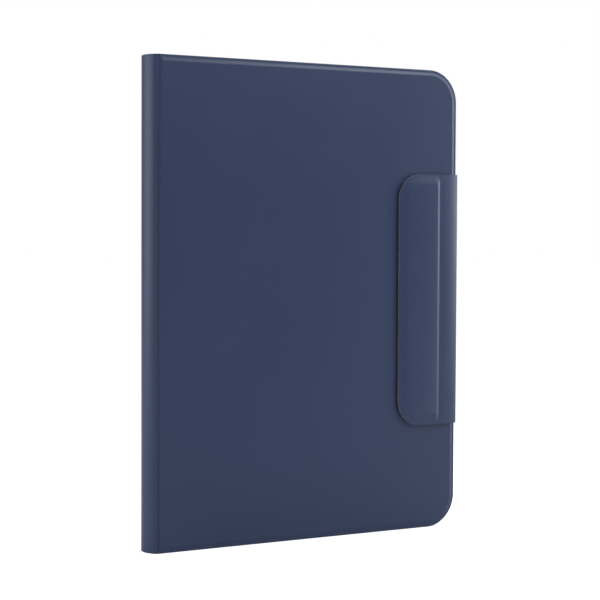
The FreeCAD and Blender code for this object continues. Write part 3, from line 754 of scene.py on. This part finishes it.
softWidths = {"tablet_tray": 0.25, "keyboard_lower_shell": 0.2, "camera_ring": 0.3,
              "trackpad": 0.2, "power_button": 0.25, "volume_up_button": 0.25, "volume_down_button": 0.25,
              "power_switch": 0.2, "screen_bumpers": 0.3, "status_lenses": 0.1}
for node, width in softWidths.items():
    softNode(node, width)
print("moulded pieces softened")

# key caps: round corners, soft top edges and a shallow dish; each size is shaped once and copied
capStyle = {"corner": 1.3, "cornerSteps": 4, "topEdge": 0.35, "topSteps": 3, "sharpAngle": 60,
            "shadeAngle": 50, "rim": 0.4, "dishEnd": 2.5, "dish": 0.2, "dishSteps": 5, "dishInset": 0.7}
keyNodes = [node for node, slot in nodeSlot.items() if slot == "key_plastic" and node not in softWidths]
capPatterns = {}


def shapeCap(wide, y, tall):
    style = capStyle
    cap = newBlock("capPattern", (0, wide), y, (0, tall), [keyPlastic])
    openEdit(cap)
    pickEdges(cap, alongY)
    bpy.ops.mesh.bevel(offset=style["corner"] * mm, segments=style["cornerSteps"], affect="EDGES")
    pickFaces(cap, lambda centre, normal: normal.y > 0.9)
    bpy.ops.mesh.inset(thickness=style["rim"] * mm, depth=0)
    foot = (style["rim"], wide - style["rim"], style["rim"], tall - style["rim"])
    top = (style["dishEnd"], wide - style["dishEnd"], style["dishEnd"], tall - style["dishEnd"])
    raiseField(cap, foot, top, -style["dish"], style["dishSteps"], style["dishInset"])
    closeEdit()
    rounding = cap.modifiers.new("topEdge", "BEVEL")
    rounding.width = style["topEdge"] * mm
    rounding.segments = style["topSteps"]
    rounding.limit_method = "ANGLE"
    rounding.angle_limit = math.radians(style["sharpAngle"])
    applyAll(cap)
    smooth(cap, style["shadeAngle"])
    return cap


def makeCaps(node):
    low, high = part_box(node)
    x, y = (caseX(low.x), caseX(high.x)), (caseY(low.y), caseY(high.y))
    edges = sorted({round(corner.co.z / mm, 2) for corner in frame["nodes"][node].data.vertices})
    caps = []
    for z in zip(edges[::2], edges[1::2]):
        size = (round(x[1] - x[0], 1), round(z[1] - z[0], 1))
        if size not in capPatterns:
            capPatterns[size] = shapeCap(size[0], y, size[1])
        cap = capPatterns[size].copy()
        cap.data = cap.data.copy()
        bpy.context.scene.collection.objects.link(cap)
        cap.location = (x[0] * mm, 0, z[0] * mm)
        only(cap)
        bpy.ops.object.transform_apply(location=True, rotation=True, scale=True)
        caps.append(cap)
    row = joinPieces(node + "Caps", caps)
    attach(row, bodyOf[node])
    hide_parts(node)


for node in keyNodes:
    makeCaps(node)
for pattern in capPatterns.values():
    bpy.data.objects.remove(pattern)
print("key caps made", len(keyNodes))

# floor, lights and camera


studio = {"tones": [(0.0, 0.06), (0.17, 0.08), (0.41, 0.85), (0.62, 0.9), (0.85, 0.45), (1.0, 0.4)],
          "eyeTone": 1.0, "floorWide": 12, "floorColour": (0.6, 0.6, 0.6), "floorRoughness": 0.9,
          "floorSpecular": 0.1, "floorSpread": 0.004, "floorMottle": 2, "floorToPiece": 0.1,
          "floorToEye": 0.68}


def makeStage():
    bpy.ops.mesh.primitive_plane_add(size=studio["floorWide"], location=(0, 0, 0))
    floor = bpy.context.object
    floor.name = floor.data.name = "whiteFloor"
    colour = studio["floorColour"]
    paper, tree, shader = newMaterial("whitePaper", colour, studio["floorRoughness"], studio["floorSpecular"])
    shader.inputs["Emission Color"].default_value = (1, 1, 1, 1)
    mottle(tree, shader, colour, studio["floorSpread"], studio["floorMottle"])
    path = addNode(tree, "ShaderNodeLightPath", (-600, -300))
    glow = addNode(tree, "ShaderNodeMapRange", (-300, -300), To_Min=studio["floorToPiece"],
                   To_Max=studio["floorToEye"])
    tree.links.new(path.outputs["Is Camera Ray"], glow.inputs["Value"])
    tree.links.new(glow.outputs["Result"], shader.inputs["Emission Strength"])
    floor.data.materials.append(paper)


def softLight(name, place, target, size, power):
    light = bpy.data.lights.new(name, "AREA")
    light.shape = "RECTANGLE"
    light.size, light.size_y = size
    light.energy = power
    lamp = bpy.data.objects.new(name, light)
    bpy.context.scene.collection.objects.link(lamp)
    lamp.location = place
    lamp.rotation_euler = (Vector(target) - Vector(place)).to_track_quat("-Z", "Y").to_euler()


cameraPlace = {"x": -0.52485, "y": -0.83815, "z": 0.1668, "yaw": 31.88, "down": 2.20, "roll": 0.234,
               "lens": 109.8, "sensor": 36, "clip": (0.01, 50)}


def makeCamera():
    place = cameraPlace
    camera = bpy.data.cameras.new("camera")
    camera.lens = place["lens"]
    camera.sensor_width = place["sensor"]
    camera.clip_start, camera.clip_end = place["clip"]
    holder = bpy.data.objects.new("camera", camera)
    bpy.context.scene.collection.objects.link(holder)
    yaw, down, roll = (math.radians(place[key]) for key in ("yaw", "down", "roll"))
    forward = Vector((math.sin(yaw) * math.cos(down), math.cos(yaw) * math.cos(down), -math.sin(down)))
    right = forward.cross(Vector((0, 0, 1))).normalized()
    up = right.cross(forward)
    turnedRight = right * math.cos(roll) + up * math.sin(roll)
    turnedUp = up * math.cos(roll) - right * math.sin(roll)
    facing = Matrix((turnedRight, turnedUp, -forward)).transposed()
    holder.matrix_world = Matrix.Translation((place["x"], place["y"], place["z"])) @ facing.to_4x4()
    bpy.context.scene.camera = holder


def makeStudio():                                # white to the eye, dim in front and bright at the sides
    world = bpy.context.scene.world or bpy.data.worlds.new("studio")
    bpy.context.scene.world = world
    world.use_nodes = True
    tree = world.node_tree
    dome = tree.nodes["Background"]
    dome.inputs["Color"].default_value = (1, 1, 1, 1)
    where = addNode(tree, "ShaderNodeTexCoord", (-1100, 0))
    axes = addNode(tree, "ShaderNodeSeparateXYZ", (-900, 0))
    across = addNode(tree, "ShaderNodeMapRange", (-700, 0), From_Min=-1, From_Max=1)
    tones = addNode(tree, "ShaderNodeValToRGB", (-500, 0))
    tones.color_ramp.interpolation = "EASE"
    points = tones.color_ramp.elements
    while len(points) < len(studio["tones"]):
        points.new(0.5)
    for point, (position, tone) in zip(points, studio["tones"]):
        point.position, point.color = position, (tone, tone, tone, 1)
    path = addNode(tree, "ShaderNodeLightPath", (-500, 300))
    choose = addNode(tree, "ShaderNodeMix", (-200, 100))
    choose.inputs[3].default_value = studio["eyeTone"]
    tree.links.new(where.outputs["Generated"], axes.inputs["Vector"])
    tree.links.new(axes.outputs["Y"], across.inputs["Value"])
    tree.links.new(across.outputs["Result"], tones.inputs["Fac"])
    tree.links.new(path.outputs["Is Camera Ray"], choose.inputs[0])
    tree.links.new(tones.outputs["Color"], choose.inputs[2])
    tree.links.new(choose.outputs[0], dome.inputs["Strength"])
    bpy.context.scene.view_settings.view_transform = "Standard"


softLights = {
    "rightLight": {"place": (1.5, -0.35, 0.35), "target": (0, 0, 0.13), "size": (0.8, 1.3), "power": 11},
    "leftLight": {"place": (-1.4, 0.75, 0.25), "target": (0, 0, 0.13), "size": (0.9, 1.3), "power": 10},
    "fillLight": {"place": (-0.6, -1.35, 0.4), "target": (0, 0, 0.13), "size": (0.9, 1.0), "power": 3.5},
    "frontTopLight": {"place": (0.78, -0.86, 1.1), "target": (0, 0, 0.13), "size": (0.7, 0.35), "power": 8.5},
    "topLight": {"place": (0.1, 0.15, 1.6), "target": (0, 0, 0.1), "size": (1.4, 1.0), "power": 9},
}
makeStage()
makeStudio()
for name, light in softLights.items():
    softLight(name, **light)
makeCamera()
print("stage set")
